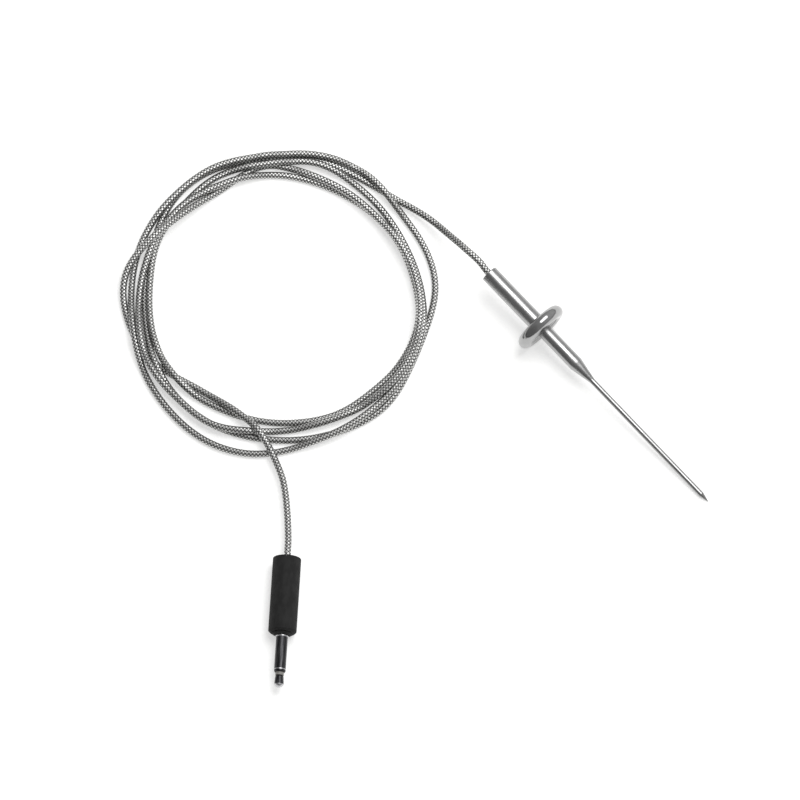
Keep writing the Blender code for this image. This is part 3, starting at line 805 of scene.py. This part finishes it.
def paper_floor(scene, settings):
    """A flat sheet of matte white paper with faint fibres, lit a little through from below."""
    half = settings.floor_side / 2
    mesh = bpy.data.meshes.new("floor")
    corners = [(-half, -half, 0.0), (half, -half, 0.0), (half, half, 0.0), (-half, half, 0.0)]
    mesh.from_pydata(corners, [], [(0, 1, 2, 3)])
    floor = bpy.data.objects.new("floor", mesh)
    scene.collection.objects.link(floor)
    level = Axis(Vector(), Vector((1, 0, 0)), Vector((0, 1, 0)), Vector((0, 0, 1)))
    constants = {
        "IOR": 1.45,
        "Specular IOR Level": 0.2,
        "Emission Color": WHITE,
        "Emission Strength": settings.glow,
    }
    made, tree = new_material("white_paper", **constants)
    fibres = grain(tree, level, (1.5, 0.6, 1.0), 4.0)
    paper = tuple(settings.floor)
    finish(tree, (fibres, shade(paper, 0.985), paper), (fibres, 0.8, 0.9), (fibres, 0.01))
    mesh.materials.append(made)


def key_light(scene, settings, target):
    """One large square light above and beside the object."""
    lamp = bpy.data.lights.new("key_light", "AREA")
    lamp.shape = "SQUARE"
    lamp.size = KEY_SIDE * MM
    lamp.energy = settings.key_power
    key = bpy.data.objects.new("key_light", lamp)
    way = Vector(KEY_WAY).normalized()
    key.location = target + way * KEY_DISTANCE * MM
    key.rotation_euler = way.to_track_quat("Z", "Y").to_euler()
    scene.collection.objects.link(key)


def soft_room(scene):
    """A studio's walls around the object: dim on one side, paler on the other, dark low down."""
    world = bpy.data.worlds.new("soft_room")
    world.use_nodes = True
    tree = world.node_tree
    way = add(tree, "TexCoord", output="Generated")
    across = add(tree, "SeparateXYZ", {0: way}, "Y")
    height = add(tree, "SeparateXYZ", {0: way}, "Z")
    start, end = ROOM_ACROSS
    wall = add(tree, "MapRange", {0: across, 1: start, 2: end, 3: ROOM_DIM, 4: ROOM_PALE})
    low = add(tree, "MapRange", {0: height, 1: 0.0, 2: ROOM_LOW_TOP, 3: ROOM_LOW, 4: 1.0})
    level = add(tree, "Math", {0: wall, 1: low}, operation="MULTIPLY")
    background = tree.nodes["Background"]
    background.inputs["Color"].default_value = WHITE
    tree.links.new(level, background.inputs["Strength"])
    scene.world = world


class THERMOMETER_OT_cable(bpy.types.Operator):
    """Lay the braided cable from the handle, through its coil, to the plug"""

    bl_idname = "thermometer.cable"
    bl_label = "Cable"

    def execute(self, context):
        settings = context.scene.thermometer_cable
        probe = probe_axis()
        route = cable_route(probe, plug_axis(), settings.diameter / MM)
        cable, line, length = braid_tube(route, settings)
        give(cable, braided_wire(settings), "braided_steel", *CABLE_NODES)
        return {"FINISHED"}


class THERMOMETER_OT_probe(bpy.types.Operator):
    """Turn the probe's tube, its point and the handle's sleeve"""

    bl_idname = "thermometer.probe"
    bl_label = "Probe"

    def execute(self, context):
        settings = context.scene.thermometer_probe
        axis = probe_axis()
        steel = drawn_steel(axis, settings.steel)
        needle = settings.needle_diameter / MM / 2
        body = settings.body_diameter / MM / 2
        tube = (
            (needle, POINT_START - FIT, GROUND),
            (needle, SHOULDER_END, 0.6),
            (body, SHOULDER_START, 0.2),
            (body, BODY_START, EASED),
            (BODY_BORE, BODY_START, EASED),
            (BODY_BORE, SHOULDER_START, 0.8),
            (NEEDLE_BORE, SHOULDER_END, 0.8),
            (NEEDLE_BORE, POINT_START - FIT, GROUND),
        )
        point = (
            (POINT_RADIUS / 2, POINT_END, 0.0),
            (POINT_RADIUS, POINT_END - POINT_RADIUS / 2, 0.0),
            (needle, POINT_START, 0.04),
            (POINT_SHANK, POINT_START, GROUND),
            (POINT_SHANK, POINT_SHANK_START, 0.0),
        )
        sleeve = (
            (SLEEVE_RADIUS, SLEEVE_END, BROKEN),
            (SLEEVE_RADIUS, 0.0, 0.25),
            (CABLE_BORE, 0.0, EASED),
            (CABLE_BORE, SLEEVE_WALL_END, EASED),
            (SLEEVE_BORE, SLEEVE_WALL_END, EASED),
            (SLEEVE_BORE, SLEEVE_END, BROKEN),
        )
        slot = "polished_steel"
        give(turned("steel_tube", axis, rounded(tube), True), steel, slot, "probe_tube")
        give(turned("steel_point", axis, rounded(point), False), steel, slot, "needle_point")
        give(turned("steel_sleeve", axis, rounded(sleeve), True), steel, slot, "handle_sleeve")
        return {"FINISHED"}


class THERMOMETER_OT_ring(bpy.types.Operator):
    """Turn the grip ring, a round rim on a flat web"""

    bl_idname = "thermometer.ring"
    bl_label = "Grip ring"

    def execute(self, context):
        settings = context.scene.thermometer_probe
        axis = probe_axis()
        bore = settings.body_diameter / MM / 2 + FIT
        circle = settings.ring_diameter / MM / 2 - RING_RIM
        turn = asin(RING_WEB / RING_RIM)
        foot = circle - RING_RIM * cos(turn)
        angles = np.linspace(pi - turn - RING_FILLET_TURN, turn + RING_FILLET_TURN - pi, RIM_POINTS)
        rim = [(circle + RING_RIM * cos(a), RING_STATION + RING_RIM * sin(a), 0.0) for a in angles]
        outline = (
            (bore, RING_STATION + RING_WEB, BROKEN),
            (foot, RING_STATION + RING_WEB, 0.35),
            *rim,
            (foot, RING_STATION - RING_WEB, 0.35),
            (bore, RING_STATION - RING_WEB, BROKEN),
        )
        ring = turned("steel_ring", axis, rounded(outline), True, RING_SIDES)
        give(ring, buffed_steel(axis, settings.steel), "polished_steel", "grip_ring")
        return {"FINISHED"}


class THERMOMETER_OT_grip(bpy.types.Operator):
    """Turn the plug's moulded grip and the collar where the cable enters it"""

    bl_idname = "thermometer.grip"
    bl_label = "Plug grip"

    def execute(self, context):
        settings = context.scene.thermometer_plug
        axis = plug_axis()
        radius = settings.grip_diameter / MM / 2
        end = settings.grip_length / MM
        grip = (
            (BOSS_LIP, end + BOSS_HEIGHT, BROKEN),
            (BOSS_RADIUS, end + BOSS_HEIGHT / 2, EASED),
            (BOSS_RADIUS, end, BROKEN),
            (radius - GRIP_CHAMFER, end, 0.12),
            (radius, end - GRIP_CHAMFER, 0.12),
            (radius, 0.0, GRIP_ROUND),
            (GRIP_ENTRY, 0.0, EASED),
            (GRIP_ENTRY, GRIP_REAR_WALL, EASED),
            (GRIP_BORE, GRIP_REAR_WALL, EASED),
            (GRIP_BORE, end - GRIP_FRONT_WALL, EASED),
            (JACK_NECK, end - GRIP_FRONT_WALL, EASED),
            (JACK_NECK, end + BOSS_HEIGHT, CRISP),
        )
        collar = (
            (ENTRY_RADIUS, GRIP_REAR_WALL, CRISP),
            (ENTRY_RADIUS, -ENTRY_PROUD, 0.15),
            (CABLE_BORE, -ENTRY_PROUD, BROKEN),
            (CABLE_BORE, GRIP_REAR_WALL, CRISP),
        )
        vinyl = matte_vinyl("spark_eroded_black_vinyl", axis, settings.moulding)
        slot = "moulded_black"
        give(turned("vinyl_grip", axis, rounded(grip), True), vinyl, slot, "plug_grip")
        give(turned("vinyl_collar", axis, rounded(collar), True), vinyl, slot, "cable_entry_collar")
        return {"FINISHED"}


class THERMOMETER_OT_jack(bpy.types.Operator):
    """Turn the jack's sleeve contact, its insulator and its tip contact"""

    bl_idname = "thermometer.jack"
    bl_label = "Jack"

    def execute(self, context):
        settings = context.scene.thermometer_plug
        axis = plug_axis()
        nickel = dark_nickel(axis, settings)
        radius = settings.jack_diameter / MM / 2
        sleeve = (
            (radius - JACK_EDGE, JACK_END, CRISP),
            (radius, JACK_END - JACK_BEVEL, CRISP),
            (radius, FLANGE_END, CRISP),
            (FLANGE_RADIUS, FLANGE_END, BROKEN),
            (FLANGE_RADIUS, FLANGE_START, BROKEN),
            (radius, FLANGE_START, CRISP),
            (radius, JACK_HEAD_END, CRISP),
            (JACK_HEAD, JACK_HEAD_END, BROKEN),
            (JACK_HEAD, JACK_HEAD_START, BROKEN),
            (JACK_BORE, JACK_HEAD_START, CRISP),
            (JACK_BORE, JACK_END, CRISP),
        )
        insulator = (
            (NOSE_RADIUS, NOSE_END, 0.06),
            (NOSE_RADIUS, NOSE_START, 0.06),
            (JACK_BORE - FIT, NOSE_START, GROUND),
            (JACK_BORE - FIT, JACK_HEAD_START, CRISP),
            (PIN_RADIUS + FIT, JACK_HEAD_START, CRISP),
            (PIN_RADIUS + FIT, NOSE_END, CRISP),
        )
        barrel = settings.tip_diameter / MM / 2
        tip = (
            (TIP_TOP, TIP_END, 0.0),
            (TIP_CAP_END, TIP_END - TIP_CROWN, 0.2),
            ((TIP_CAP_END + barrel) / 2 + TIP_CAP_BULGE, TIP_END - TIP_CAP / 2, 0.25),
            (barrel, TIP_END - TIP_CAP, BROKEN),
            (TIP_NECK, TIP_START + TIP_NECK_LENGTH, 0.12),
            (TIP_NECK - TIP_NECK_EDGE, TIP_START, 0.06),
            (PIN_RADIUS, TIP_START, GROUND),
            (PIN_RADIUS, PIN_START, 0.0),
        )
        acetal = turned_acetal(axis, settings.insulation)
        slot = "black_nickel"
        give(turned("jack_barrel", axis, rounded(sleeve), True), nickel, slot, "jack_sleeve")
        nose = turned("jack_nose", axis, rounded(insulator), True)
        give(nose, acetal, "insulator", "jack_insulator")
        give(turned("jack_point", axis, rounded(tip), False), nickel, slot, "jack_tip")
        return {"FINISHED"}


class THERMOMETER_OT_insides(bpy.types.Operator):
    """Give the pieces inside the probe and the plug their own materials"""

    bl_idname = "thermometer.insides"
    bl_label = "Inner pieces"

    def execute(self, context):
        probe = probe_axis()
        plug = plug_axis()
        vinyl = matte_vinyl("shrunk_black_sleeve", probe, context.scene.thermometer_plug.moulding)
        finishes = (
            (pressed_brass(probe), ("cable_crimp",)),
            (tinned_copper(probe), ("splice_ferrule_a", "splice_ferrule_b")),
            (
                fluoroplastic(probe),
                ("probe_core_a", "probe_core_b", "thermistor_lead_a", "thermistor_lead_b"),
            ),
            (sensor_glass(probe), ("thermistor_bead",)),
            (heat_paste(probe), ("thermal_paste",)),
            (vinyl, ("splice_wrap",)),
            (turned_acetal(plug, context.scene.thermometer_plug.insulation), ("rear_washer",)),
            (tinned_copper(plug), ("tip_lug", "sleeve_lug", "cable_clamp")),
            (fluoroplastic(plug), ("plug_core_a", "plug_core_b")),
        )
        for material, names in finishes:
            for name in names:
                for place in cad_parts[name].material_slots:
                    place.material = material
        return {"FINISHED"}


class THERMOMETER_PT_panel(bpy.types.Panel):
    """The thermometer's pieces and their settings"""

    bl_idname = "THERMOMETER_PT_panel"
    bl_label = "Thermometer"
    bl_space_type = "VIEW_3D"
    bl_region_type = "UI"
    bl_category = "Thermometer"

    def draw(self, context):
        for operator in OPERATORS:
            self.layout.operator(operator.bl_idname)
        for name, group in SETTINGS.items():
            box = self.layout.box()
            for field in group.__annotations__:
                box.prop(getattr(context.scene, name), field)


SETTINGS = {
    "thermometer_stage": StageSettings,
    "thermometer_cable": CableSettings,
    "thermometer_probe": ProbeSettings,
    "thermometer_plug": PlugSettings,
}
OPERATORS = (
    THERMOMETER_OT_stage,
    THERMOMETER_OT_probe,
    THERMOMETER_OT_ring,
    THERMOMETER_OT_grip,
    THERMOMETER_OT_jack,
    THERMOMETER_OT_insides,
    THERMOMETER_OT_cable,
)


def register():
    for made in (*SETTINGS.values(), *OPERATORS, THERMOMETER_PT_panel):
        bpy.utils.register_class(made)
    for name, group in SETTINGS.items():
        setattr(bpy.types.Scene, name, bpy.props.PointerProperty(type=group))


def unregister():
    for name in SETTINGS:
        delattr(bpy.types.Scene, name)
    for made in reversed((*SETTINGS.values(), *OPERATORS, THERMOMETER_PT_panel)):
        bpy.utils.unregister_class(made)


def main():
    register()
    bpy.ops.thermometer.stage()
    bpy.ops.thermometer.probe()
    bpy.ops.thermometer.ring()
    bpy.ops.thermometer.grip()
    bpy.ops.thermometer.jack()
    bpy.ops.thermometer.insides()
    bpy.ops.thermometer.cable()


if __name__ == "__main__":
    main()
